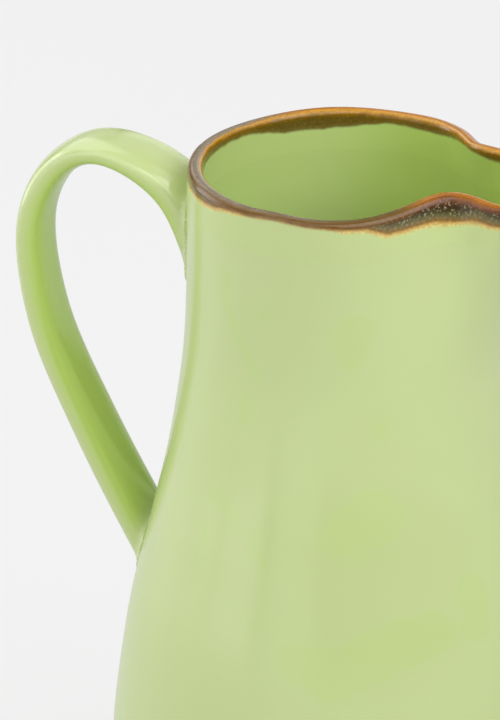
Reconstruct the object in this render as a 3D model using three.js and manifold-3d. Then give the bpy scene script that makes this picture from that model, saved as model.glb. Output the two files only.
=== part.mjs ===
// A wheel-thrown stoneware pitcher with a pinched pouring spout and a pulled strap handle.
// Millimetres, +Z up, standing on z = 0. The spout points along +X and the handle is on the -X side.
import * as THREE from 'three';
import { ParametricGeometry } from 'three/addons/geometries/ParametricGeometry.js';
import { mergeVertices } from 'three/addons/utils/BufferGeometryUtils.js';
import Module from 'manifold-3d';

const wasm = await Module();
wasm.setup();

// ---- Driving dimensions ----
const HEIGHT = 250; // table to the lip, at the handle side
const BELLY_RADIUS = 73.5; // outside, at the widest ring
const NECK_RADIUS = 48.9; // outside, below the lip
const WALL = 5; // wall thickness, measured level
const GAP = 0.3; // clearance between pieces that touch

// The wall
const BELLY_HEIGHT = 59.5; // table to the widest ring
const NECK_HEIGHT = 212.5; // table to where the shoulder has run into the neck
const BAND_HEIGHT = 13; // depth of the rim band, lip included
const WALL_FOOT_RADIUS = 49; // the wall's outside curve carried on down to the table
const WALL_FOOT_THICKENING = 2.5; // extra wall thickness where it meets the floor

// Foot and floor
const FOOT_HEIGHT = 6;
const FOOT_INSET = 2; // the turned foot ring stands this far inside the wall's curve
const FOOT_RING_WIDTH = 9;
const FOOT_CHAMFER = 0.8;
const FLOOR_THICKNESS = 6.5;
const FLOOR_DISH = 3; // the floor's edge is turned up this much against the wall

// Spout, in plan, as angles either side of +X
const SPOUT_DEPTH = 62; // how far below the lip the wall begins to leave its round section
const SPOUT_REACH = 20.2; // how far the lip is pulled out at the tip
const SPOUT_HALF_ANGLE = 28;
const FLARE = 4.2; // sideways opening of the spout beyond its throat
const FLARE_ANGLE = 23;
const FLARE_SPREAD = 7;
const PINCH = 11.2; // how far the fingers press the rim in, either side of the spout
const PINCH_ANGLE = 43.7;
const PINCH_SPREAD = 18;
const SHOULDER_RISE = 2.8; // the pressed shoulders stand a little above the rest of the lip
const SHOULDER_ANGLE = 38;
const SHOULDER_SPREAD = 13.7;
const OVALITY = 1.9; // the mouth is this much wider, each side, across the pouring line
const SPOUT_BLEND_POWER = 1.8; // how late up the wall the spout grows

// Handle
const HANDLE_REACH = 52.8; // from the neck to the middle of the strap, at its furthest
const HANDLE_DROP = 141.5; // from the lip down to the strap's lower end
const STRAP_WIDTH = 18; // at the narrowest, on the outer bend
const STRAP_THICKNESS = 8.5;
const JOINT_REACH = 11; // how far each luted joint stands out from the wall

// Mesh resolution
const AROUND = 64;
const STRAP_SIDES = 16;
const STRAP_STEPS = 26;
const JOINT_STEPS = 6;

const LIP_RADIUS = WALL / 2;
const BAND_BOTTOM = HEIGHT - BAND_HEIGHT;
const FLOOR_TOP = FOOT_HEIGHT + FLOOR_THICKNESS;
const FOOT_RADIUS = WALL_FOOT_RADIUS - FOOT_INSET;
const SPOUT_ROOT = HEIGHT - SPOUT_DEPTH;

const GLAZE = { color: 0xc0cc92, roughness: 0.22, metalness: 0 };
const RIM_GLAZE = { color: 0x7a5a36, roughness: 0.28, metalness: 0 };
const BARE_CLAY = { color: 0xcbb596, roughness: 0.85, metalness: 0 };

// ---- The wall's surface ----

// Radius of the round pot outside, without the spout: a parabola up to the belly,
// then half a cosine wave from the belly to the neck.
function outerRadius(z) {
  if (z < BELLY_HEIGHT) {
    const below = 1 - z / BELLY_HEIGHT;
    return BELLY_RADIUS - (BELLY_RADIUS - WALL_FOOT_RADIUS) * below ** 2;
  }
  const above = Math.min(1, (z - BELLY_HEIGHT) / (NECK_HEIGHT - BELLY_HEIGHT)) ** 0.93;
  return NECK_RADIUS + ((BELLY_RADIUS - NECK_RADIUS) * (1 + Math.cos(Math.PI * above))) / 2;
}

// Wall thickness: even, and thicker towards the foot.
function thickness(z) {
  const below = Math.max(0, 1 - z / BELLY_HEIGHT);
  return WALL + WALL_FOOT_THICKENING * below ** 2;
}

const bump = (angle, centre, spread) => Math.exp(-(((angle - centre) / spread) ** 2));

// How far the lip is moved from its circle at an angle from +X (degrees): the tip is pulled out,
// the spout flares, both sides are pinched in and raised, and the mouth is slightly oval.
function rimShift(degrees) {
  const angle = Math.abs(degrees);
  const side = Math.sign(degrees);
  const pull = SPOUT_REACH * Math.exp(-((angle / SPOUT_HALF_ANGLE) ** 3));
  const pinch = PINCH * bump(angle, PINCH_ANGLE, PINCH_SPREAD);
  const flare = FLARE * bump(angle, FLARE_ANGLE, FLARE_SPREAD);
  const oval = OVALITY * Math.sin(THREE.MathUtils.degToRad(angle));
  const rise = SHOULDER_RISE * bump(angle, SHOULDER_ANGLE, SHOULDER_SPREAD);
  return new THREE.Vector3(pull, side * (flare + oval - pinch), rise);
}

// A point on the middle of the wall at a height and an angle.
function midWall(z, degrees) {
  const turn = THREE.MathUtils.degToRad(degrees);
  const radius = outerRadius(z) - thickness(z) / 2;
  const share = Math.max(0, (z - SPOUT_ROOT) / SPOUT_DEPTH);
  const point = new THREE.Vector3(radius * Math.cos(turn), radius * Math.sin(turn), z);
  return point.addScaledVector(rimShift(degrees), share ** SPOUT_BLEND_POWER);
}

// The same point moved level and square to the wall by an offset, positive outwards.
function wallPoint(z, degrees, offset) {
  const step = 0.5;
  const along = midWall(z, degrees + step).sub(midWall(z, degrees - step));
  const outwards = new THREE.Vector3(along.y, -along.x, 0).normalize();
  return midWall(z, degrees).addScaledVector(outwards, offset);
}

// Angles round the pot, closer together at the spout.
function angleAt(u) {
  const even = 360 * u - 180;
  return even - 30 * Math.sin(THREE.MathUtils.degToRad(even));
}

// Turns a closed section, a list of { z, offset } running up the outside and down the inside,
// round the pot. An offset of null is a point on the axis.
function turned(section) {
  const stacks = section.length - 1;
  const place = (u, v, target) => {
    const { z, offset } = section[Math.round(v * stacks)];
    if (offset === null) target.set(0, 0, z);
    else target.copy(wallPoint(z, angleAt(u % 1), offset));
  };
  return closed(new ParametricGeometry(place, AROUND, stacks));
}

// ---- Helpers for solids ----

// Merges shared vertices, so that the surface is one closed body.
function closed(geometry) {
  const bare = geometry.clone();
  bare.deleteAttribute('normal');
  bare.deleteAttribute('uv');
  return mergeVertices(bare, 1e-3);
}

function toSolid(geometry) {
  return new wasm.Manifold(
    new wasm.Mesh({
      numProp: 3,
      vertProperties: new Float32Array(geometry.attributes.position.array),
      triVerts: new Uint32Array(geometry.index.array),
    }),
  );
}

function toGeometry(solid) {
  const mesh = solid.getMesh();
  const geometry = new THREE.BufferGeometry();
  geometry.setAttribute('position', new THREE.BufferAttribute(mesh.vertProperties, 3));
  geometry.setIndex(new THREE.BufferAttribute(mesh.triVerts, 1));
  return geometry;
}

function addPiece(group, name, geometry, finish) {
  const drawn = geometry.toNonIndexed();
  drawn.computeVertexNormals();
  const mesh = new THREE.Mesh(drawn, new THREE.MeshStandardMaterial(finish));
  mesh.name = name;
  group.add(mesh);
}

// Evenly spaced numbers from first to last.
function spaced(first, last, count) {
  return Array.from({ length: count }, (_, i) => first + ((last - first) * i) / (count - 1));
}

// ---- Pieces of the vessel ----

const wallHeights = [
  FOOT_HEIGHT + GAP,
  ...spaced(FLOOR_TOP + FLOOR_DISH, SPOUT_ROOT, 13),
  ...spaced(SPOUT_ROOT, BAND_BOTTOM - GAP, 6).slice(1),
];

function bodyWall() {
  const outside = wallHeights.map((z) => ({ z, offset: thickness(z) / 2 }));
  const inside = wallHeights.map((z) => ({ z, offset: -thickness(z) / 2 })).reverse();
  return turned([...outside, ...inside, outside[0]]);
}

// The lip is a half circle over the band's straight sides.
function rimBand() {
  const shoulder = HEIGHT - LIP_RADIUS;
  const arc = spaced(0, Math.PI, 7).map((a) => ({
    z: shoulder + LIP_RADIUS * Math.sin(a),
    offset: LIP_RADIUS * Math.cos(a),
  }));
  const outerFoot = { z: BAND_BOTTOM, offset: WALL / 2 };
  return turned([outerFoot, ...arc, { z: BAND_BOTTOM, offset: -WALL / 2 }, outerFoot]);
}

function lathe(outline) {
  const points = outline.map(([radius, z]) => new THREE.Vector2(radius, z));
  const geometry = new THREE.LatheGeometry(points, AROUND);
  geometry.rotateX(Math.PI / 2);
  return closed(geometry);
}

// The floor disc fits inside the wall's foot and is dished where it meets the wall.
function baseFloor() {
  const insideWall = (z) => outerRadius(z) - thickness(z) - 2 * GAP;
  const bottom = FOOT_HEIGHT + GAP;
  const rim = FLOOR_TOP + FLOOR_DISH;
  return lathe([
    [0, bottom],
    [insideWall(bottom), bottom],
    [insideWall(rim), rim],
    [insideWall(rim) - 4, FLOOR_TOP + 0.7],
    [insideWall(rim) - 9, FLOOR_TOP],
    [0, FLOOR_TOP],
  ]);
}

function footRing() {
  const inner = FOOT_RADIUS - FOOT_RING_WIDTH;
  return lathe([
    [inner + FOOT_CHAMFER, 0],
    [FOOT_RADIUS - 2 * FOOT_CHAMFER, 0],
    [FOOT_RADIUS - FOOT_CHAMFER, FOOT_CHAMFER],
    [FOOT_RADIUS, FOOT_HEIGHT],
    [inner, FOOT_HEIGHT],
    [inner, FOOT_CHAMFER],
    [inner + FOOT_CHAMFER, 0],
  ]);
}

// ---- Handle ----

// The strap's middle line: depths below the lip as shares of HANDLE_DROP, and distances out from
// the wall as shares of HANDLE_REACH. Both ends run a little way into the wall.
const handlePath = new THREE.CatmullRomCurve3(
  [
    [0.314, -0.14],
    [0.108, 0.13],
    [0.032, 0.58],
    [0.076, 0.84],
    [0.208, 1],
    [0.438, 0.9],
    [0.696, 0.5],
    [0.96, -0.05],
    [1, -0.15],
  ].map(([share, out]) => {
    const z = HEIGHT - share * HANDLE_DROP;
    return new THREE.Vector3(-outerRadius(z) - out * HANDLE_REACH, 0, z);
  }),
  false,
  'centripetal',
);

// Widths and thicknesses along the strap, as multiples of the driving sizes.
const STRAP_TAPER = [
  { at: 0, width: 1.5, thickness: 1.25 },
  { at: 0.2, width: 1.28, thickness: 0.82 },
  { at: 0.4, width: 1, thickness: 1 },
  { at: 0.7, width: 1.2, thickness: 1.05 },
  { at: 1, width: 1.4, thickness: 1.3 },
];

function strapSize(at) {
  const next = Math.max(1, STRAP_TAPER.findIndex((row) => row.at >= at));
  const [a, b] = [STRAP_TAPER[next - 1], STRAP_TAPER[next]];
  const share = THREE.MathUtils.smoothstep(at, a.at, b.at);
  return {
    width: STRAP_WIDTH * THREE.MathUtils.lerp(a.width, b.width, share),
    thickness: STRAP_THICKNESS * THREE.MathUtils.lerp(a.thickness, b.thickness, share),
  };
}

// A length of the strap between two places along its middle line, closed at both ends.
// Its section is a rounded rectangle, from the superellipse |cos|^0.6, |sin|^0.6.
function strapLength(from, to, steps) {
  const round = (value) => Math.sign(value) * Math.abs(value) ** 0.6;
  const place = (u, v, target) => {
    const row = Math.round(v * (steps + 2)) - 1;
    const at = from + ((to - from) * THREE.MathUtils.clamp(row, 0, steps)) / steps;
    const { width, thickness: thick } = strapSize(at);
    const isEnd = row < 0 || row > steps;
    const turn = 2 * Math.PI * (u % 1);
    const along = handlePath.getTangent(at);
    const across = new THREE.Vector3(along.z, 0, -along.x);
    target.copy(handlePath.getPoint(at));
    if (isEnd) return;
    target.addScaledVector(across, (-thick / 2) * round(Math.sin(turn)));
    target.y += (width / 2) * round(Math.cos(turn));
  };
  return closed(new ParametricGeometry(place, STRAP_SIDES, steps + 2));
}

// How far the strap's middle line is outside the round wall.
function standOff(at) {
  const point = handlePath.getPoint(at);
  return -point.x - outerRadius(point.z);
}

// Where the luted joints end and the free strap begins, found by walking in from each end.
function walkOut(start, direction) {
  let at = start;
  while (standOff(at) < JOINT_REACH) at += 0.002 * direction;
  return at;
}
const upperSplit = walkOut(0, 1);
const lowerSplit = walkOut(1, -1);

// The free strap between the joints, GAP clear of each.
function freeStrap() {
  const step = 0.001;
  const gapAt = (at) => (GAP * step) / handlePath.getPoint(at).distanceTo(handlePath.getPoint(at + step));
  return strapLength(upperSplit + gapAt(upperSplit), lowerSplit - gapAt(lowerSplit), STRAP_STEPS);
}

// A joint is the strap's end with the vessel's outside, GAP proud of the wall, cut away.
function luted(from, to) {
  const heights = [...wallHeights, BAND_BOTTOM, HEIGHT + SHOULDER_RISE];
  const rings = heights.map((z) => ({ z, offset: thickness(z) / 2 + GAP }));
  const axis = (z) => ({ z, offset: null });
  const vessel = turned([axis(heights[0]), ...rings, axis(heights.at(-1))]);
  return toGeometry(toSolid(strapLength(from, to, JOINT_STEPS)).subtract(toSolid(vessel)));
}

// ---- Assembly ----

const pitcher = new THREE.Group();
addPiece(pitcher, 'foot_ring', footRing(), BARE_CLAY);
addPiece(pitcher, 'base_floor', baseFloor(), GLAZE);
addPiece(pitcher, 'body_wall', bodyWall(), GLAZE);
addPiece(pitcher, 'rim_band', rimBand(), RIM_GLAZE);
addPiece(pitcher, 'upper_handle_joint', luted(0, upperSplit), GLAZE);
addPiece(pitcher, 'handle_strap', freeStrap(), GLAZE);
addPiece(pitcher, 'lower_handle_joint', luted(lowerSplit, 1), GLAZE);

// The part's origin is under the middle of its bounding box, on the table.
const middle = new THREE.Box3().setFromObject(pitcher, true).getCenter(new THREE.Vector3());
pitcher.position.set(-middle.x, -middle.y, 0);

export default pitcher;
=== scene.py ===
"""A wheel-thrown stoneware pitcher: pistachio-green glaze, an iron-brown rim, a pinched spout
and a pulled strap handle, on a pale floor in soft studio light. Shapes are worked out in
millimetres in the part's own frame (+X from the handle to the spout, +Z up)."""

import math

import bpy
import numpy as np
from mathutils import Matrix, Vector


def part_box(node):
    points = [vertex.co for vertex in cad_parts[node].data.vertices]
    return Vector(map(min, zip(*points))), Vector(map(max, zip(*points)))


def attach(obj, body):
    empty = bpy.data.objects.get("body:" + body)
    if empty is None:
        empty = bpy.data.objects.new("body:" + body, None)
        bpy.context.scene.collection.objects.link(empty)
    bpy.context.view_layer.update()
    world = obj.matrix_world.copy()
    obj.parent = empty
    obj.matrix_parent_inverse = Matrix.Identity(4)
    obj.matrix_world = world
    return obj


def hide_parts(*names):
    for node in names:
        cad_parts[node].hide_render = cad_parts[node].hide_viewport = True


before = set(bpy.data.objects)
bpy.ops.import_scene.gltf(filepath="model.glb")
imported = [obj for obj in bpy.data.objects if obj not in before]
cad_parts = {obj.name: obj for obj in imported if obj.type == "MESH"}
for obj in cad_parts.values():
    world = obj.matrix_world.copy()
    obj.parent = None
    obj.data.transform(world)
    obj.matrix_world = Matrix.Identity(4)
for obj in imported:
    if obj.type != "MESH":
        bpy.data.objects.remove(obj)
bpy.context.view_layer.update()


def box_mm(node):
    """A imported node's lowest and highest corners, in millimetres."""
    return [1000 * np.array(corner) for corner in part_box(node)]


foot_low, foot_high = box_mm("foot_ring")
wall_low, wall_high = box_mm("body_wall")
rim_low = box_mm("rim_band")[0]
floor_high = box_mm("base_floor")[1]

# ---- Sizes, in millimetres ----

AXIS_X = (foot_low[0] + foot_high[0]) / 2  # the pot's own axis
BELLY_RADIUS = wall_high[1]
NECK_RADIUS = 48.9
WALL = 5.0
UNDERSIDE = wall_low[2]  # the wall and the floor begin here, on the foot ring
BAND_BOTTOM = rim_low[2]  # the wall piece ends and the rim piece begins here
BAND_HEIGHT = 13.0
HEIGHT = BAND_BOTTOM + BAND_HEIGHT  # table to the lip, at the handle side
BELLY_HEIGHT = 59.5  # table to the widest ring
NECK_HEIGHT = 212.5  # table to where the shoulder has run into the neck
SHOULDER_POWER = 0.93  # under 1 the shoulder falls away a little sooner than the cosine
LIP_HALF = 2.3  # half the lip's thickness
LIP_POWER = 2.4  # of the lip's superellipse; 2 would be a half circle

# The foot and the floor
WALL_FOOT_RADIUS = 49.0  # the wall's outside curve carried on down to the table
WALL_FOOT_THICKENING = 2.5
FOOT_RADIUS = foot_high[1]
FOOT_RING_WIDTH = 9.0
FLOOR_EDGE = floor_high[2]
FLOOR_DISH = 3.0  # the floor's edge is turned up this much against the wall

# The spout, in plan, as angles in degrees either side of +X
SPOUT_DEPTH = 62.0  # how far below the lip the wall begins to leave its round section
SPOUT_ROOT = HEIGHT - SPOUT_DEPTH
SPOUT_POWER = 1.8  # how late up the wall the spout grows
SPOUT_REACH, SPOUT_HALF_ANGLE = 20.2, 28.0
FLARE, FLARE_ANGLE, FLARE_SPREAD = 4.2, 23.0, 7.0
PINCH, PINCH_ANGLE, PINCH_SPREAD = 11.2, 43.7, 18.0
SHOULDER_RISE, SHOULDER_ANGLE, SHOULDER_SPREAD = 2.8, 38.0, 13.7
OVALITY = 1.9  # the mouth is this much wider, each side, across the pouring line

# Dips and rises of the cut lip: angle from +X, height, spread in degrees
LIP_DIPS = [(88, -0.9, 26), (142, -0.85, 26), (57, 0.7, 7), (-98, 0.5, 9)]

# The handle
HANDLE_REACH = 52.8  # from the neck to the middle of the strap, at its furthest
HANDLE_DROP = 141.5  # from the lip down to the strap's lower end
STRAP_WIDTH = 18.0
STRAP_THICKNESS = 8.5
ROOT_FILLET = 3.0  # radius of the smoothed clay where the strap meets the wall
ROOT_DEPTH = 2.0  # the strap's ends reach at most this far into the wall

# Rows and columns of the grids
AROUND = 288  # columns round the pot
AROUND_LIP = 2 * AROUND
AROUND_FOOT = 240
STRAP_ROWS, STRAP_COLUMNS = 420, 96
LINE_SOFTENING, TAPER_SOFTENING = 9, 14  # rows of the strap over which each is averaged


def smoothstep(low, high, value):
    """0 at low, 1 at high, and 3t^2 - 2t^3 between them."""
    share = np.clip((value - low) / (high - low), 0, 1)
    return share * share * (3 - 2 * share)


# ---- The thrown wall's surface ----


def outer_radius(z):
    """Outside radius of the round pot: a parabola up to the belly, then half a cosine wave
    from the belly to the neck."""
    below = np.clip(1 - z / BELLY_HEIGHT, 0, None)
    above = np.clip((z - BELLY_HEIGHT) / (NECK_HEIGHT - BELLY_HEIGHT), 0, 1) ** SHOULDER_POWER
    lower = BELLY_RADIUS - (BELLY_RADIUS - WALL_FOOT_RADIUS) * below**2
    upper = NECK_RADIUS + (BELLY_RADIUS - NECK_RADIUS) * (1 + np.cos(np.pi * above)) / 2
    return np.where(z < BELLY_HEIGHT, lower, upper)


def thickness(z):
    """Wall thickness: even, and thicker towards the foot by a square law."""
    return WALL + WALL_FOOT_THICKENING * np.clip(1 - z / BELLY_HEIGHT, 0, None) ** 2


def bell(value, centre, spread):
    """1 at the centre, falling away by the Gauss curve of the distance over the spread."""
    return np.exp(-(((value - centre) / spread) ** 2))


def rim_shift(angle):
    """How far the lip is moved from its circle at an angle from +X in degrees: the tip is pulled
    out by a bell curve of power 3, the spout flares and both sides are pinched in and raised by
    bell curves, and the mouth is slightly oval by a sine. The last column is upwards."""
    size = np.abs(angle)
    pull = SPOUT_REACH * np.exp(-((size / SPOUT_HALF_ANGLE) ** 3))
    pinch = PINCH * bell(size, PINCH_ANGLE, PINCH_SPREAD)
    flare = FLARE * bell(size, FLARE_ANGLE, FLARE_SPREAD)
    oval = OVALITY * np.sin(np.radians(size))
    rise = SHOULDER_RISE * bell(size, SHOULDER_ANGLE, SHOULDER_SPREAD)
    return np.stack([pull, np.sign(angle) * (flare + oval - pinch), rise], -1)


def hand_ripple(z, angle):
    """The slight unevenness left by the hands, in mm: slow waves round the pot and up its wall,
    throwing lines 33 mm apart that wander round it, seven faint facets, and a bell-shaped slack
    place 1.1 mm deep, 78 mm up, near the handle side."""
    turn = np.radians(angle)
    slow = 0.20 * np.sin(2 * turn + z / 31 + 0.5) + 0.14 * np.sin(3 * turn - z / 19 + 1.3)
    throwing = 0.05 * np.sin(z / 5.2 + 0.8 * np.sin(turn))
    facets = 0.05 * np.sin(7 * turn + z / 23)
    slack = -1.1 * bell(z, 78, 22) * bell(angle, -160, 40)
    return slow + slack + throwing + facets


def lip_wobble(z, angle):
    """The cut lip isn't quite level: a slow wave, and bell-shaped dips and rises at a few angles,
    all fading out over the rim's depth."""
    wave = 0.15 * np.sin(np.radians(3 * angle) + 1.0)
    for centre, height, spread in LIP_DIPS:
        wave = wave + height * bell(angle, centre, spread)
    return wave * smoothstep(BAND_BOTTOM, HEIGHT, z)


def mid_wall(z, angle):
    """A point on the middle of the wall: a circle, moved by the lip's shift times a power of the
    share of the way up the spout."""
    turn = np.radians(angle)
    radius = outer_radius(z) - thickness(z) / 2 + hand_ripple(z, angle)
    share = np.clip((z - SPOUT_ROOT) / SPOUT_DEPTH, 0, None) ** SPOUT_POWER
    point = np.stack([radius * np.cos(turn), radius * np.sin(turn), z + lip_wobble(z, angle)], -1)
    return point + rim_shift(angle) * share[..., None]


def wall_point(z, angle, offset):
    """The middle of the wall moved level and square to it by an offset, positive outwards."""
    z, angle, offset = np.broadcast_arrays(z, angle, offset)
    along = mid_wall(z, angle + 0.25) - mid_wall(z, angle - 0.25)
    outwards = np.stack([along[..., 1], -along[..., 0], 0 * z], -1)
    outwards /= np.linalg.norm(outwards, axis=-1, keepdims=True)
    return mid_wall(z, angle) + outwards * offset[..., None]


def angles(count):
    """Angles round the pot in degrees, closer together at the spout by a sine law."""
    even = np.arange(count) * 360 / count - 180
    return even - 30 * np.sin(np.radians(even))


# ---- From arrays to pieces ----


def make_piece(name, points, material, slot, nodes, ring=False, **values):
    """A closed skin over a grid of points: every row is a closed loop, and the rows either
    close into a ring or are capped at both ends. values are numbers that spread over the grid,
    kept on the mesh as attributes of the same names."""
    rows, columns = points.shape[:2]
    index = np.arange(rows * columns).reshape(rows, columns)
    here = index if ring else index[:-1]
    above = np.roll(index, -1, 0) if ring else index[1:]
    corners = [here, np.roll(here, -1, 1), np.roll(above, -1, 1), above]
    quads = np.stack(corners, -1).reshape(-1, 4)
    flat = points.reshape(-1, 3)
    first, second, third, fourth = (flat[quads[:, k]] for k in range(4))
    volume = np.einsum("ij,ij->", first, np.cross(second, third) + np.cross(third, fourth))
    faces = quads.tolist()
    if not ring:
        faces += [index[0, ::-1].tolist(), index[-1].tolist()]
    if volume < 0:
        faces = [face[::-1] for face in faces]
    mesh = bpy.data.meshes.new(name)
    mesh.from_pydata(((flat + [AXIS_X, 0, 0]) / 1000).tolist(), [], faces)
    for label, numbers in values.items():
        layer = mesh.attributes.new(label, "FLOAT", "POINT")
        spread = np.broadcast_to(numbers, (rows, columns)).astype(np.float32)
        layer.data.foreach_set("value", spread.ravel())
    mesh.shade_smooth()
    mesh.set_sharp_from_angle(angle=math.radians(50))
    mesh.materials.append(material)
    piece = bpy.data.objects.new(name, mesh)
    bpy.context.scene.collection.objects.link(piece)
    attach(piece, "root")
    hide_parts(*nodes)
    return piece


# ---- Glazes and clay ----


def srgb(code):
    """A hex colour as linear red, green, blue and full opacity."""
    shares = [int(code[k : k + 2], 16) / 255 for k in (1, 3, 5)]
    linear = [c / 12.92 if c <= 0.04045 else ((c + 0.055) / 1.055) ** 2.4 for c in shares]
    return (*linear, 1.0)


def add(tree, kind, inputs=None, stops=None, **settings):
    """Adds one node with its settings. An input is a value, or (node, output) to link from;
    stops are a colour ramp's places and colours."""
    made = tree.nodes.new(kind)
    for name, value in settings.items():
        setattr(made, name, value)
    for key, value in (inputs or {}).items():
        if isinstance(value, tuple) and isinstance(value[0], bpy.types.Node):
            tree.links.new(value[0].outputs[value[1]], made.inputs[key])
        else:
            made.inputs[key].default_value = value
    if stops:
        ramp = made.color_ramp
        while len(ramp.elements) < len(stops):
            ramp.elements.new(0.5)
        for element, (place, colour) in zip(ramp.elements, stops):
            element.position = place
            element.color = colour
    return made


def new_material(name):
    """An empty node material."""
    material = bpy.data.materials.new(name)
    material.use_nodes = True
    material.node_tree.nodes.clear()
    return material


def green_look(tree, place):
    """The green glaze's colour: pale where it is thin, deeper where it has pooled. Patches 45 mm
    across drift over it, pooled places come from the 'pool' value on the piece, and their outline
    is broken up by noise 13 mm across. The piece's lining value turns it a deeper, greener colour:
    partly the thicker glaze poured inside, partly painted shade of the pot's dim inside and of the
    strap's finger side. Returns the last node, whose output 2 is the colour."""
    drift = add(tree, "ShaderNodeTexNoise", {"Vector": place, "Scale": 1000 / 45, "Detail": 3.0})
    ragged = add(tree, "ShaderNodeTexNoise", {"Vector": place, "Scale": 1000 / 13, "Detail": 4.0})
    pool = add(tree, "ShaderNodeAttribute", attribute_name="pool")
    torn = add(
        tree,
        "ShaderNodeMath",
        {0: (ragged, "Fac"), 1: 1.3, 2: (pool, "Fac")},
        operation="MULTIPLY_ADD",
    )
    pooled = add(
        tree,
        "ShaderNodeMapRange",
        {"Value": (torn, "Value"), "From Min": 0.9, "From Max": 1.45},
        interpolation_type="SMOOTHSTEP",
    )
    thin = add(
        tree,
        "ShaderNodeMix",
        {0: (drift, "Fac"), 6: srgb("#c9d898"), 7: srgb("#c4d490")},
        data_type="RGBA",
    )
    lining = add(tree, "ShaderNodeAttribute", attribute_name="lining")
    # painted shade: the lining value mixes in a deeper green, partly thicker glaze and partly
    # shade painted inside the pot and on the strap's finger side
    thick = add(
        tree,
        "ShaderNodeMix",
        {0: (lining, "Fac"), 6: (thin, 2), 7: srgb("#b9d36c")},
        data_type="RGBA",
    )
    return add(
        tree,
        "ShaderNodeMix",
        {0: (pooled, "Result"), 6: (thick, 2), 7: srgb("#c4d78e")},
        data_type="RGBA",
    )


def make_green_glaze():
    """Glazed stoneware: a glassy, slightly cloudy pistachio-green feldspar glaze, dipped.
    It gives soft but clear reflections over an even pastel colour, and its skin is never quite
    flat: waves about 14 mm across, 0.12 mm high."""
    material = new_material("glazed_stoneware_pistachio")
    tree = material.node_tree
    place = (add(tree, "ShaderNodeTexCoord"), "Object")
    colour = green_look(tree, place)
    waves = add(tree, "ShaderNodeTexNoise", {"Vector": place, "Scale": 1000 / 14, "Detail": 1.0})
    bump = add(
        tree,
        "ShaderNodeBump",
        {"Height": (waves, "Fac"), "Distance": 0.001, "Strength": 0.12},
    )
    shader = add(
        tree,
        "ShaderNodeBsdfPrincipled",
        {"Base Color": (colour, 2), "Normal": (bump, "Normal"), "Roughness": 0.19, "IOR": 1.65},
    )
    add(tree, "ShaderNodeOutputMaterial", {"Surface": (shader, "BSDF")})
    return material


def iron_band(tree, depth, grain):
    """The brushed iron band's colour by its depth, from 2 mm outside its edge to 6 mm inside it:
    straw and amber where it thins out into the green, then olive, and dark brown where it lies
    thick, with pale specks under 1 mm across sown over the thick part, which stand partly for
    crystals in the glaze and partly for painted glints of light on its bumpy surface."""
    share = add(
        tree,
        "ShaderNodeMapRange",
        {"Value": (depth, "Value"), "From Min": -2.0, "From Max": 6.0},
    )
    body = add(
        tree,
        "ShaderNodeValToRGB",
        {"Fac": (share, "Result")},
        stops=[
            (0.03, srgb("#cfd38e")),
            (0.16, srgb("#dccc7e")),
            (0.25, srgb("#cca65c")),
            (0.33, srgb("#8e6c36")),
            (0.42, srgb("#7f6e44")),
            (0.52, srgb("#696440")),
            (0.65, srgb("#4e4526")),
            (0.79, srgb("#44311c")),
            (0.91, srgb("#563a26")),
            (1.0, srgb("#68472c")),
        ],
    )
    # painted glints: pale specks from the fine grain, partly crystals in the glaze and partly
    # glints of light painted into the colour
    crystal_and_glint = add(
        tree,
        "ShaderNodeMapRange",
        {"Value": (grain, "Fac"), "From Min": 0.56, "From Max": 0.68},
    )
    thick = add(
        tree,
        "ShaderNodeMapRange",
        {"Value": (depth, "Value"), "From Min": 0.8, "From Max": 2.6, "To Max": 0.42},
    )
    sown_crystals_and_glints = add(
        tree,
        "ShaderNodeMath",
        {0: (crystal_and_glint, "Result"), 1: (thick, "Result")},
        operation="MULTIPLY",
    )
    return add(
        tree,
        "ShaderNodeMix",
        {0: (sown_crystals_and_glints, "Value"), 6: (body, "Color"), 7: srgb("#c4bf9c")},
        data_type="RGBA",
    )


def amber_lip(tree, across, band):
    """The iron glaze worn thin over the lip's two edges, where it breaks to amber; the palest
    stop, just inside the crest, is also a painted highlight along the lip's inner edge. across
    runs from 0, 6 mm down the inside, to 1, 6 mm down the outside; a stop's last number is how far
    its colour covers the band."""
    edges = add(
        tree,
        "ShaderNodeValToRGB",
        {"Fac": (across, "Result")},
        stops=[
            (0.0, srgb("#65551f")[:3] + (0.9,)),
            (0.20, srgb("#70550e")[:3] + (0.9,)),
            (0.28, srgb("#8f6408")),
            # painted highlight: this palest gold just inside the crest is partly the amber break
            # and partly a painted highlight line
            (0.37, srgb("#d09a40")),
            (0.46, srgb("#bd7a14")),
            (0.58, srgb("#a8681c")),
            (0.70, srgb("#7c4a2c")[:3] + (0.9,)),
            (0.84, srgb("#6a4a2c")[:3] + (0.0,)),
        ],
    )
    return add(
        tree,
        "ShaderNodeMix",
        {0: (edges, "Alpha"), 6: (band, 2), 7: (edges, "Color")},
        data_type="RGBA",
    )


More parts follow.
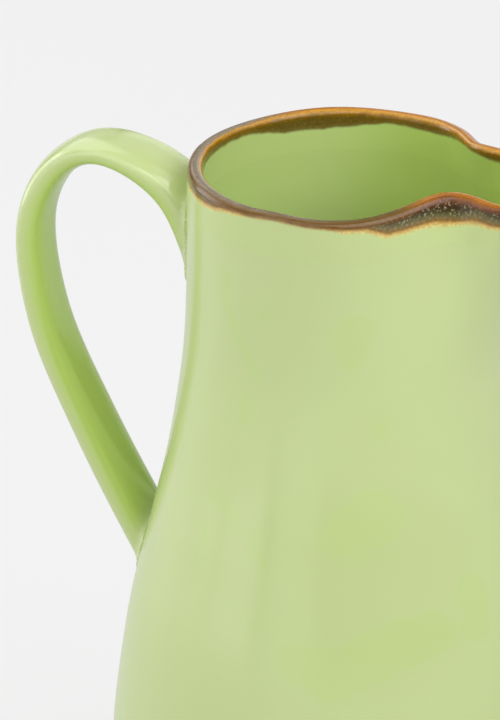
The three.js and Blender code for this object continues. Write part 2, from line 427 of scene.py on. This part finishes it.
def plain_crown(tree, across, amber):
    """The crest of the lip, about 3 mm wide, where 'plain' says that it has lost its amber: drab
    brown, turning lilac-grey where the lilac value says, partly the thin glaze's own colour and
    partly a painted reflection of bright light on the crest, and a warmer brown on its outer half."""
    lilac = add(tree, "ShaderNodeAttribute", attribute_name="lilac")
    plain = add(tree, "ShaderNodeAttribute", attribute_name="plain")
    black, white = (0.0, 0.0, 0.0, 1.0), (1.0, 1.0, 1.0, 1.0)
    top = add(
        tree,
        "ShaderNodeValToRGB",
        {"Fac": (across, "Result")},
        stops=[(0.37, black), (0.43, white), (0.66, white), (0.80, black)],
    )
    worn = add(
        tree,
        "ShaderNodeMath",
        {0: (top, "Color"), 1: (plain, "Fac")},
        operation="MULTIPLY",
    )
    # painted reflection: the lilac-grey mixed in here is partly the thin glaze's colour and partly
    # a painted reflection of bright light
    greyed_and_reflecting = add(
        tree,
        "ShaderNodeMix",
        {0: (lilac, "Fac"), 6: srgb("#6c582a"), 7: srgb("#8f846f")},
        data_type="RGBA",
    )
    outer_half = add(
        tree,
        "ShaderNodeMapRange",
        {"Value": (across, "Result"), "From Min": 0.5, "From Max": 0.6},
    )
    crown = add(
        tree,
        "ShaderNodeMix",
        {0: (outer_half, "Result"), 6: (greyed_and_reflecting, 2), 7: srgb("#745629")},
        data_type="RGBA",
    )
    return add(
        tree,
        "ShaderNodeMix",
        {0: (worn, "Value"), 6: (amber, 2), 7: (crown, 2)},
        data_type="RGBA",
    )


def make_rim_glaze():
    """Glazed stoneware with an iron-oxide band brushed over the lip: dark olive-brown where it
    is thick, breaking to amber along its edges and to lilac-grey over the crest of the lip. The
    lilac-grey is partly the thin glaze's own colour and partly a painted reflection, and the
    palest amber just inside the crest is partly a painted highlight. It is glassy, so it shines,
    and finely mottled, with pale specks that are partly painted glints. 'iron' is the distance
    inside the band's edge in mm and 'crest' the distance from the lip's crest in mm, positive
    outside; below the band it is the same green glaze as the wall."""
    material = new_material("glazed_stoneware_iron_rim")
    tree = material.node_tree
    place = (add(tree, "ShaderNodeTexCoord"), "Object")
    iron = add(tree, "ShaderNodeAttribute", attribute_name="iron")
    crest = add(tree, "ShaderNodeAttribute", attribute_name="crest")
    ragged = add(tree, "ShaderNodeTexNoise", {"Vector": place, "Scale": 1000 / 8, "Detail": 3.0})
    cloud = add(tree, "ShaderNodeTexNoise", {"Vector": place, "Scale": 1000 / 4, "Detail": 3.0})
    grain = add(tree, "ShaderNodeTexNoise", {"Vector": place, "Scale": 1000 / 0.8, "Detail": 2.0})
    # the band's edge wanders by 0.35 mm either way
    shift = add(
        tree,
        "ShaderNodeMapRange",
        {
            "Value": (ragged, "Fac"),
            "From Min": 0.3,
            "From Max": 0.7,
            "To Min": -0.35,
            "To Max": 0.35,
        },
    )
    depth = add(
        tree,
        "ShaderNodeMath",
        {0: (iron, "Fac"), 1: (shift, "Result")},
        operation="ADD",
    )
    # the way across the lip, clouded by up to 0.8 mm either way
    over = add(
        tree,
        "ShaderNodeMath",
        {0: (cloud, "Fac"), 1: 1.6, 2: (crest, "Fac")},
        operation="MULTIPLY_ADD",
    )
    across = add(
        tree,
        "ShaderNodeMapRange",
        {"Value": (over, "Value"), "From Min": -5.2, "From Max": 6.8},
    )
    lip = plain_crown(tree, across, amber_lip(tree, across, iron_band(tree, depth, grain)))
    speck = add(
        tree,
        "ShaderNodeMapRange",
        {
            "Value": (grain, "Fac"),
            "From Min": 0.35,
            "From Max": 0.7,
            "To Min": 0.85,
            "To Max": 1.15,
        },
    )
    mottled = add(
        tree,
        "ShaderNodeMix",
        {0: 1.0, 6: (lip, 2), 7: (speck, "Result")},
        data_type="RGBA",
        blend_type="MULTIPLY",
    )
    edge = add(
        tree,
        "ShaderNodeMapRange",
        {"Value": (depth, "Value"), "From Min": -1.7, "From Max": -0.5},
        interpolation_type="SMOOTHSTEP",
    )
    colour = add(
        tree,
        "ShaderNodeMix",
        {0: (edge, "Result"), 6: (green_look(tree, place), 2), 7: (mottled, 2)},
        data_type="RGBA",
    )
    bump = add(
        tree,
        "ShaderNodeBump",
        {"Height": (grain, "Fac"), "Distance": 0.0003, "Strength": 0.12},
    )
    shader = add(
        tree,
        "ShaderNodeBsdfPrincipled",
        {"Base Color": (colour, 2), "Normal": (bump, "Normal"), "Roughness": 0.16, "IOR": 1.42},
    )
    add(tree, "ShaderNodeOutputMaterial", {"Surface": (shader, "BSDF")})
    return material


def make_bare_clay():
    """Unglazed buff stoneware, turned with a loop tool and sponged: matt, so it shows no
    reflections, with fine grog specks about 0.7 mm across and turning lines 7.5 mm apart."""
    material = new_material("bare_buff_stoneware")
    tree = material.node_tree
    place = (add(tree, "ShaderNodeTexCoord"), "Object")
    grog = add(tree, "ShaderNodeTexNoise", {"Vector": place, "Scale": 1000 / 1.4, "Detail": 2.0})
    cloud = add(tree, "ShaderNodeTexNoise", {"Vector": place, "Scale": 1000 / 20, "Detail": 2.0})
    clay = add(
        tree,
        "ShaderNodeMix",
        {0: (cloud, "Fac"), 6: srgb("#d3bf9f"), 7: srgb("#c4ab88")},
        data_type="RGBA",
    )
    speck = add(
        tree,
        "ShaderNodeMapRange",
        {"Value": (grog, "Fac"), "From Min": 0.62, "From Max": 0.72},
    )
    colour = add(
        tree,
        "ShaderNodeMix",
        {0: (speck, "Result"), 6: (clay, 2), 7: srgb("#96795a")},
        data_type="RGBA",
    )
    centred = add(tree, "ShaderNodeMapping", {"Vector": place, "Location": (-AXIS_X / 1000, 0, 0)})
    # at scale 1 a wave has 20 radians to a metre; 1.2 mm to a radian is 7.5 mm to a line
    lines = add(
        tree,
        "ShaderNodeTexWave",
        {"Vector": (centred, "Vector"), "Scale": 1000 / 1.2 / 20, "Distortion": 0.4},
        wave_type="RINGS",
        rings_direction="Z",
    )
    bump = add(
        tree,
        "ShaderNodeBump",
        {"Height": (lines, "Fac"), "Distance": 0.0002, "Strength": 0.5},
    )
    shader = add(
        tree,
        "ShaderNodeBsdfPrincipled",
        {"Base Color": (colour, 2), "Normal": (bump, "Normal"), "Roughness": 0.85},
    )
    add(tree, "ShaderNodeOutputMaterial", {"Surface": (shader, "BSDF")})
    return material


green_glaze = make_green_glaze()
rim_glaze = make_rim_glaze()
bare_clay = make_bare_clay()

# ---- Where the green glaze has pooled on the wall ----

POOL_GIRTH_RADIUS = 58.0  # turns an angle into a distance round the wall, about midway up
# Each run is a line of (angle in degrees, height) points, with its half width and its depth.
POOLS = [
    ([(-70.5, 209), (-70.5, 214)], 6.5, 1.0),
    ([(-71, 154), (-65, 156), (-60, 158)], 7.5, 1.0),
    ([(-33, 121), (-33, 131)], 5.5, 1.0),
    ([(-84, 115), (-74, 110), (-62, 119), (-48, 121)], 7.0, 1.0),
    ([(-59, 185)], 6.0, 0.6),
    ([(-119, 227), (-120, 219), (-113, 208), (-105, 198)], 2.6, 0.9),
    ([(-108, 215)], 10.0, 0.45),
    ([(-109, 190), (-109, 183)], 2.6, 0.7),
    ([(-117, 135), (-121, 155), (-116, 158), (-102, 150), (-96, 142)], 2.4, 0.6),
    ([(-114, 134), (-107, 130), (-98, 124)], 2.2, 0.5),
    ([(20, 170), (28, 176)], 7.0, 0.8),
    ([(75, 200), (80, 192)], 6.0, 0.9),
    ([(60, 120), (74, 112), (88, 118)], 7.5, 1.0),
    ([(118, 150), (124, 141)], 6.5, 0.8),
    ([(150, 90), (163, 84)], 8.0, 0.9),
    ([(5, 95), (-8, 88)], 7.0, 0.8),
    ([(-150, 70), (-138, 64)], 8.0, 0.8),
    ([(-70, 55), (-52, 48)], 8.0, 0.7),
]


def pooled(z, angle):
    """Depth of the pooled glaze at points on the wall: for each run, its depth times one minus
    the smoothed distance to its line over twice its half width; the deepest run wins."""
    z, angle = np.broadcast_arrays(z, angle)
    level = np.radians(angle) * POOL_GIRTH_RADIUS
    found = np.zeros(z.shape)
    for line, half_width, depth in POOLS:
        spots = [(math.radians(a) * POOL_GIRTH_RADIUS, h) for a, h in line]
        for (ax, az), (bx, bz) in zip(spots, spots[1:] or spots):
            span = (bx - ax) ** 2 + (bz - az) ** 2
            along = ((level - ax) * (bx - ax) + (z - az) * (bz - az)) / max(span, 1e-9)
            along = np.clip(along, 0, 1)
            away = np.hypot(level - ax - along * (bx - ax), z - az - along * (bz - az))
            found = np.maximum(found, depth * (1 - smoothstep(0, 2 * half_width, away)))
    return found


def lining_and_shade_by_angle(angle):
    """How much of the inside's deeper green lies at an angle from +X: partly thicker glaze
    poured inside, partly painted shade; full at the spout side, less at the handle side."""
    return 1 - 0.6 * smoothstep(76, 122, np.abs(angle))


# ---- Wall ----


def wall_section():
    """Heights and offsets of the wall's closed section: the outer lower corner, a quarter
    circle, then the outside up to the rim piece, and the inside back down."""
    corner_rows, outside_rows, inside_rows = 9, 162, 104
    corner_radius = 2.4
    corner = np.linspace(-np.pi / 2, 0, corner_rows)
    corner_z = UNDERSIDE + corner_radius * (1 + np.sin(corner))
    corner_offset = thickness(corner_z) / 2 - corner_radius * (1 - np.cos(corner))
    outside = np.linspace(UNDERSIDE + corner_radius, BAND_BOTTOM, outside_rows)[1:]
    inside = np.linspace(BAND_BOTTOM, UNDERSIDE, inside_rows)
    z = np.concatenate([corner_z, outside, inside])
    offset = np.concatenate([corner_offset, thickness(outside) / 2, -thickness(inside) / 2])
    return z[:, None], offset[:, None]


section_z, section_offset = wall_section()
turns = angles(AROUND)[None]
make_piece(
    "glazed_wall",
    wall_point(section_z, turns, section_offset),
    green_glaze,
    "green_glaze",
    ["body_wall"],
    ring=True,
    pool=np.where(section_offset > 0, pooled(section_z, turns), 0),
    # the inside face takes the deeper green: partly thicker glaze, partly painted shade
    lining=np.where(section_offset > 0, 0.0, lining_and_shade_by_angle(turns)),
)

# ---- Rim ----

# How far the iron glaze reaches down from the crest, outside and inside: (angle from +X, mm).
IRON_OUTSIDE = [
    (-180, 5.7), (-150, 5.7), (-130, 5.2), (-119, 3.8), (-106, 2.4), (-99, 2.1), (-86, 2.2),
    (-80, 2.5), (-75, 3.3), (-66, 4.2), (-60, 6.6), (-52, 7.3), (-47, 8.1), (-40, 9.0),
    (-34, 8.6), (-28, 7.0), (-23, 7.5), (0, 8.1), (20, 7.7), (40, 8.9), (55, 6.9), (75, 4.9),
    (95, 3.9), (120, 4.9), (150, 5.9), (180, 5.7),
]  # fmt: skip
IRON_INSIDE = [
    (-180, 3.7), (-120, 5.2), (-60, 4.7), (-30, 4.9), (0, 5.2), (35, 3.7), (43, 2.7), (49, 2.3),
    (57, 2.8), (64, 3.7), (72, 4.3), (87, 4.0), (95, 3.9), (101, 4.7), (106, 5.4), (113, 6.0),
    (120, 6.5), (128, 6.2), (136, 6.2), (142, 5.2), (148, 4.4), (153, 3.7), (163, 3.5), (180, 3.7),
]  # fmt: skip


def by_angle(table, angle):
    """A value given at a few angles, joined up by straight lines in between."""
    places, values = np.array(table, float).T
    return np.interp(angle, places, values)


def worn_crest(angle):
    """How far the lip's crest has lost its amber at an angle from +X: on the -Y side from about
    50 degrees on, and on the +Y side only towards the handle."""
    return np.where(angle < 0, smoothstep(44, 58, -angle), smoothstep(120, 158, angle))


def rim_section():
    """Heights and offsets of the rim's closed section, and the distance along it from the
    lip's crest, positive outside. The lip is a superellipse over straight sides."""
    side_rows, arc_rows = 16, 21
    side = np.linspace(BAND_BOTTOM, HEIGHT - LIP_HALF, side_rows)
    arc = np.linspace(0, np.pi, arc_rows)[1:-1]
    power = 2 / LIP_POWER
    arc_offset = LIP_HALF * np.sign(np.cos(arc)) * np.abs(np.cos(arc)) ** power
    arc_z = HEIGHT - LIP_HALF + LIP_HALF * np.sin(arc) ** power
    half = WALL / 2 + (LIP_HALF - WALL / 2) * smoothstep(BAND_BOTTOM, HEIGHT - LIP_HALF, side)
    z = np.concatenate([side, arc_z, side[::-1]])
    offset = np.concatenate([half, arc_offset, -half[::-1]])
    along = np.concatenate([[0], np.cumsum(np.hypot(np.diff(z), np.diff(offset)))])
    return z[:, None], offset[:, None], (along[-1] / 2 - along)[:, None]


rim_z, rim_offset, from_crest = rim_section()
rim_turns = angles(AROUND_LIP)[None]
inner_depth = by_angle(IRON_INSIDE, rim_turns)
outer_depth = by_angle(IRON_OUTSIDE, rim_turns)
iron_depth = inner_depth + (outer_depth - inner_depth) * smoothstep(-2.5, 2.5, from_crest)
make_piece(
    "glazed_rim",
    wall_point(rim_z, rim_turns, rim_offset),
    rim_glaze,
    "rim_glaze",
    ["rim_band"],
    ring=True,
    pool=np.where(rim_offset > 0, pooled(rim_z, rim_turns), 0),
    iron=iron_depth - np.abs(from_crest),
    crest=from_crest,
    # the rim's inside takes the same deeper green: partly thicker glaze, partly painted shade
    lining=(1 - smoothstep(-2, 2, from_crest)) * lining_and_shade_by_angle(rim_turns),
    # lilac-grey crest towards the handle: partly thin glaze, partly painted reflection
    lilac=smoothstep(62, 125, np.abs(rim_turns)),
    plain=worn_crest(rim_turns),
)

# ---- Floor and foot ----


def lathe(radii, heights):
    """A section turned round the axis. heights may also change from column to column."""
    turn = np.radians(np.arange(AROUND_FOOT) * 360 / AROUND_FOOT)[None]
    radii, heights = radii[:, None], np.broadcast_to(heights, (len(radii), AROUND_FOOT))
    return np.stack([radii * np.cos(turn), radii * np.sin(turn), heights], -1)


def floor_surface():
    """The inside floor: a shallow dish that turns up against the wall by a smoothstep to the
    power 1.5, a low knob in the middle, and the spiral a finger leaves as the floor is opened, a
    sine wave of 8 mm pitch that fades at the middle and the edge; flat underneath."""
    top_rows = 60
    edge = outer_radius(FLOOR_EDGE) - thickness(FLOOR_EDGE) - 0.05
    under_edge = edge - 0.6
    radii = np.concatenate([np.linspace(0.3, edge, top_rows), np.linspace(under_edge, 0.3, 8)])
    turn = np.radians(np.arange(AROUND_FOOT) * 360 / AROUND_FOOT)[None]
    out = radii[:, None]
    spiral = 0.35 * np.sin(2 * np.pi * out / 8 - turn) * smoothstep(2, 8, out)
    spiral = spiral * (1 - smoothstep(edge - 16, edge - 6, out))
    dish = FLOOR_DISH * smoothstep(edge - 12, edge, out) ** 1.5
    knob = 0.5 * bell(out, 0, 5)
    heights = FLOOR_EDGE - FLOOR_DISH + spiral + dish + knob
    heights[top_rows:] = UNDERSIDE
    points = lathe(radii, heights)
    # underneath, the floor reaches out to the wall where the wall begins
    points[top_rows:, :, :2] *= (outer_radius(UNDERSIDE) - thickness(UNDERSIDE) - 0.1) / under_edge
    return points


# the inside floor takes the full deeper green: partly thicker glaze, partly painted shade
make_piece("glazed_floor", floor_surface(), green_glaze, "green_glaze", ["base_floor"], lining=1.0)


def foot_surface():
    """The turned foot ring: a rectangle with its lower corners rounded by quarter circles,
    1.4 mm outside and 1 mm inside, turned round the axis."""
    inner, top = FOOT_RADIUS - FOOT_RING_WIDTH, UNDERSIDE - 0.05
    outer_round, inner_round = 1.4, 1.0
    quarter = np.linspace(0, np.pi / 2, 7)
    outer_r = FOOT_RADIUS - outer_round + outer_round * np.sin(quarter)
    outer_z = outer_round - outer_round * np.cos(quarter)
    inner_r = inner + inner_round - inner_round * np.sin(quarter)
    inner_z = inner_round - inner_round * np.cos(quarter)
    radii = np.concatenate([outer_r, [FOOT_RADIUS, FOOT_RADIUS, inner, inner], inner_r[::-1]])
    heights = np.concatenate([outer_z, [3.5, top, top, 3.0], inner_z[::-1]])
    return lathe(radii, heights[:, None])


make_piece("bare_foot", foot_surface(), bare_clay, "bare_clay", ["foot_ring"], ring=True)

# ---- Handle ----

# The strap's middle line: depths below the lip as shares of HANDLE_DROP, and distances out
# from the wall as shares of HANDLE_REACH.
HANDLE_LINE = [
    (0.29, -0.14), (0.099, 0.13), (0.034, 0.58), (0.082, 0.835), (0.208, 1.005),
    (0.438, 0.922), (0.696, 0.507), (0.96, -0.05), (1.0, -0.15),
]  # fmt: skip
# The way along the strap, its width as a multiple of STRAP_WIDTH, its thickness as one of
# STRAP_THICKNESS.
STRAP_TAPER = [
    (0.0, 1.5, 1.5), (0.12, 1.38, 1.3), (0.22, 1.26, 0.86),
    (0.4, 1.0, 1.06), (0.7, 1.2, 1.12), (1.0, 1.4, 1.3),
]  # fmt: skip
FINGER_SIDE_POWER, OUTER_SIDE_POWER = 0.7, 0.8  # of the section; 1 would be an ellipse


def curve_through(points, at):
    """Centripetal Catmull-Rom curve: between each two points a cubic whose end slopes come
    from the neighbouring points, weighted by the square roots of the spans' lengths."""
    ends = [2 * points[0] - points[1]], [2 * points[-1] - points[-2]]
    padded = np.concatenate([ends[0], points, ends[1]])
    place = at * (len(points) - 1)
    span = np.minimum(place.astype(int), len(points) - 2)
    share = (place - span)[:, None]
    p0, p1, p2, p3 = (padded[span + k] for k in range(4))
    d0, d1, d2 = (
        np.sqrt(np.linalg.norm(b - a, axis=-1, keepdims=True))
        for a, b in ((p0, p1), (p1, p2), (p2, p3))
    )
    slope1 = ((p1 - p0) / d0 - (p2 - p0) / (d0 + d1) + (p2 - p1) / d1) * d1
    slope2 = ((p2 - p1) / d1 - (p3 - p1) / (d1 + d2) + (p3 - p2) / d2) * d1
    cubic = (2 * p1 - 2 * p2 + slope1 + slope2) * share**3
    square = (3 * p2 - 3 * p1 - 2 * slope1 - slope2) * share**2
    return cubic + square + slope1 * share + p1


def softened(values, width):
    """Each value averaged with its neighbours by a bell curve, the ends held. width is the
    curve's spread in rows."""
    reach = 3 * width
    weights = bell(np.arange(-reach, reach + 1), 0, width)
    weights /= weights.sum()
    held = np.pad(values, (reach, reach), mode="reflect", reflect_type="odd")
    return np.convolve(held, weights, "valid")


def strap_middle():
    """The strap's middle line at even steps, as places along X and heights, and the way along it
    from 0 to 1."""
    shares = np.array(HANDLE_LINE)
    heights = HEIGHT - shares[:, 0] * HANDLE_DROP
    spots = np.stack([-outer_radius(heights) - shares[:, 1] * HANDLE_REACH, heights], -1)
    fine = np.linspace(0, 1, 4001)
    steps = np.linalg.norm(np.diff(curve_through(spots, fine), axis=0), axis=1)
    length = np.concatenate([[0], np.cumsum(steps)])
    at = np.interp(np.linspace(0, length[-1], STRAP_ROWS), length, fine)
    line = curve_through(spots, at)
    return np.stack([softened(side, LINE_SOFTENING) for side in line.T], -1), at


def wall_distance(y, x, z):
    """How far from the axis the wall's outside lies in the direction of a point."""
    surface = wall_point(z, np.degrees(np.arctan2(y, x)), WALL / 2)
    return np.hypot(surface[..., 0], surface[..., 1])


def strap_surface():
    """The pulled strap: a rounded rectangle carried along the middle line, its corners from the
    superellipse |cos|^p, |sin|^p, with one power on the finger side and one on the outer side.
    Within ROOT_FILLET of the wall its skin runs out along the wall by the law of a quarter
    circle, as clay smoothed on with a thumb does. Also returns the finger side's lining: a deeper
    green that is partly thick glaze and partly painted shade of the side facing the pot, and that
    thins out where the strap meets the wall."""
    line, at = strap_middle()
    along = np.gradient(line, axis=0)
    along /= np.linalg.norm(along, axis=1, keepdims=True)
    across = np.stack([along[:, 1], -along[:, 0]], -1)
    places, widths, thicknesses = np.array(STRAP_TAPER).T
    width = softened(np.interp(at, places, widths) * STRAP_WIDTH, TAPER_SOFTENING)
    thick = softened(np.interp(at, places, thicknesses) * STRAP_THICKNESS, TAPER_SOFTENING)
    turn = (np.arange(STRAP_COLUMNS) * 2 * np.pi / STRAP_COLUMNS)[None]
    power = np.where(np.sin(turn) > 0, FINGER_SIDE_POWER, OUTER_SIDE_POWER)
    flat_share = np.sign(np.cos(turn)) * np.abs(np.cos(turn)) ** power
    thick_share = np.sign(np.sin(turn)) * np.abs(np.sin(turn)) ** power
    y = width[:, None] / 2 * flat_share
    offset = thick[:, None] / 2 * thick_share
    x = line[:, :1] - across[:, :1] * offset
    z = line[:, 1:] - across[:, 1:] * offset
    # the fillet against the wall
    away = np.hypot(x, y) - wall_distance(y, x, z)
    near = np.clip(away, 0, ROOT_FILLET)
    spread = ROOT_FILLET - np.sqrt(ROOT_FILLET**2 - (ROOT_FILLET - near) ** 2)
    from_line = np.stack([y, z - line[:, 1:]], -1)
    size = np.maximum(np.linalg.norm(from_line, axis=-1, keepdims=True), 1e-6)
    moved = from_line / size * spread[..., None]
    y, z = y + moved[..., 0], z + moved[..., 1]
    # nowhere deeper than ROOT_DEPTH into the wall
    distance = np.hypot(x, y)
    held = np.maximum(distance, wall_distance(y, x, z) - ROOT_DEPTH) / distance
    # painted shade: the finger side's deeper green is partly thick glaze and partly shade painted
    # on
    lining = smoothstep(-0.4, 0.6, thick_share) * smoothstep(0.5, 7, away)
    return np.stack([x * held, y * held, z], -1), lining


# the second array is the finger side's deeper green, partly thick glaze and partly painted shade
strap, strap_lining_and_shade = strap_surface()
# The strap is cut into its three pieces where its middle is 1 mm inside the upper joint's
# outermost face and 5 mm inside the lower one's.
upper_face = box_mm("upper_handle_joint")[0][0] + 1
lower_face = box_mm("lower_handle_joint")[0][0] + 5
middle_x = strap[:, :, 0].mean(1) + AXIS_X
last_row = STRAP_ROWS - 1
upper_cut = int(np.argmax(middle_x < upper_face))
lower_cut = last_row - int(np.argmax(middle_x[::-1] < lower_face))
for label, node, first, last in (
    ("handle_upper_root", "upper_handle_joint", 0, upper_cut),
    ("handle_pulled_strap", "handle_strap", upper_cut, lower_cut),
    ("handle_lower_root", "lower_handle_joint", lower_cut, last_row),
):
    cut = slice(first, last + 1)
    make_piece(label, strap[cut], green_glaze, "green_glaze", [node], lining=strap_lining_and_shade[cut])

# ---- Floor, light and camera ----


def make_floor():
    """A pale matt floor, 12 m square, lit from within just enough to stay even."""
    material = new_material("pale_matt_floor")
    tree = material.node_tree
    seen = add(tree, "ShaderNodeLightPath")
    glow = add(
        tree,
        "ShaderNodeMapRange",
        {"Value": (seen, "Is Camera Ray"), "To Min": 0.62, "To Max": 0.82},
    )
    shader = add(
        tree,
        "ShaderNodeBsdfPrincipled",
        {
            "Base Color": srgb("#707070"),
            "Roughness": 0.9,
            "Specular IOR Level": 0.0,
            "Emission Color": srgb("#f2f2f2"),
            "Emission Strength": (glow, "Result"),
        },
    )
    add(tree, "ShaderNodeOutputMaterial", {"Surface": (shader, "BSDF")})
    mesh = bpy.data.meshes.new("floor")
    half = 6.0
    corners = [(-half, -half, 0), (half, -half, 0), (half, half, 0), (-half, half, 0)]
    mesh.from_pydata(corners, [], [(0, 1, 2, 3)])
    mesh.materials.append(material)
    floor = bpy.data.objects.new("floor", mesh)
    bpy.context.scene.collection.objects.link(floor)


def make_world():
    """A dim room that shows pale behind the floor's far edge."""
    world = bpy.data.worlds.new("studio")
    world.use_nodes = True
    tree = world.node_tree
    tree.nodes.clear()
    seen = add(tree, "ShaderNodeLightPath")
    strength = add(
        tree,
        "ShaderNodeMapRange",
        {"Value": (seen, "Is Camera Ray"), "To Min": 0.03, "To Max": 1.0},
    )
    light = add(
        tree,
        "ShaderNodeBackground",
        {"Color": srgb("#f2f2f2"), "Strength": (strength, "Result")},
    )
    add(tree, "ShaderNodeOutputWorld", {"Surface": (light, "Background")})
    bpy.context.scene.world = world


# Name, bearing in degrees from +X, degrees above the pot's middle, width in metres, watts.
SOFT_BOXES = [
    ("key_right", -30, 45, 1.5, 17.2),
    ("fill_left", -110, 45, 1.5, 8.0),
    ("side_right", 20, 45, 1.4, 6.0),
    ("back_left", 150, 45, 1.5, 8.6),
    ("high_back_left", 160, 68, 1.0, 0.6),
    ("middle_front", -130, 25, 0.9, 0.9),
    ("middle_back", 90, 25, 0.9, 1.1),
    ("low_left", 170, 8, 0.7, 5.6),
    ("low_back_left", 125, 8, 0.7, 0.8),
    ("low_back_right", 95, 8, 0.7, 1.3),
    ("low_side", -165, 8, 0.7, 2.3),
    ("low_front_left", -135, 8, 0.7, 2.2),
    ("low_front", -100, 8, 0.7, 1.2),
]


def soft_box(name, bearing, rise, width, height, power, distance=1.5, diffuse=True):
    """A rectangular soft light facing the pot from a distance in metres; without diffuse it
    shows in the glaze only."""
    data = bpy.data.lights.new(name, "AREA")
    data.shape = "RECTANGLE"
    data.size, data.size_y, data.energy = width, height, power
    light = bpy.data.objects.new(name, data)
    turn, lift = math.radians(bearing), math.radians(rise)
    level = math.cos(lift)
    aim = Vector((math.cos(turn) * level, math.sin(turn) * level, math.sin(lift)))
    light.location = Vector((AXIS_X / 1000, 0, 0.15)) + aim * distance
    light.rotation_euler = aim.to_track_quat("Z", "Y").to_euler()
    light.visible_camera = False
    light.visible_diffuse = diffuse
    bpy.context.scene.collection.objects.link(light)


def make_camera():
    """A long lens 1.5 m from the lip, 20 degrees round from the front and 23.5 degrees up; the
    lip's middle is 30 mm right of the frame's middle and 57 mm above it."""
    turn, lift = math.radians(20), math.radians(23.5)
    level = math.cos(lift)
    back = Vector((math.sin(turn) * level, -math.cos(turn) * level, math.sin(lift)))
    right = Vector((math.cos(turn), math.sin(turn), 0))
    up = back.cross(right)
    data = bpy.data.cameras.new("camera")
    data.sensor_width = 36
    data.lens = 250
    data.clip_end = 50
    camera = bpy.data.objects.new("camera", data)
    middle = Vector((AXIS_X / 1000, 0, (HEIGHT - 2.5) / 1000))
    place = Matrix((right, up, back)).transposed().to_4x4()
    place.translation = middle - 0.030 * right - 0.057 * up + 1.5 * back
    camera.matrix_world = place
    bpy.context.scene.collection.objects.link(camera)
    bpy.context.scene.camera = camera


make_floor()
make_world()
for name, bearing, rise, width, power in SOFT_BOXES:
    soft_box(name, bearing, rise, width, max(1.0, width), power)
soft_box("strip_left", 172, -6, 0.28, 0.2, 0.02, distance=0.45, diffuse=False)
make_camera()
bpy.context.scene.view_settings.view_transform = "Standard"
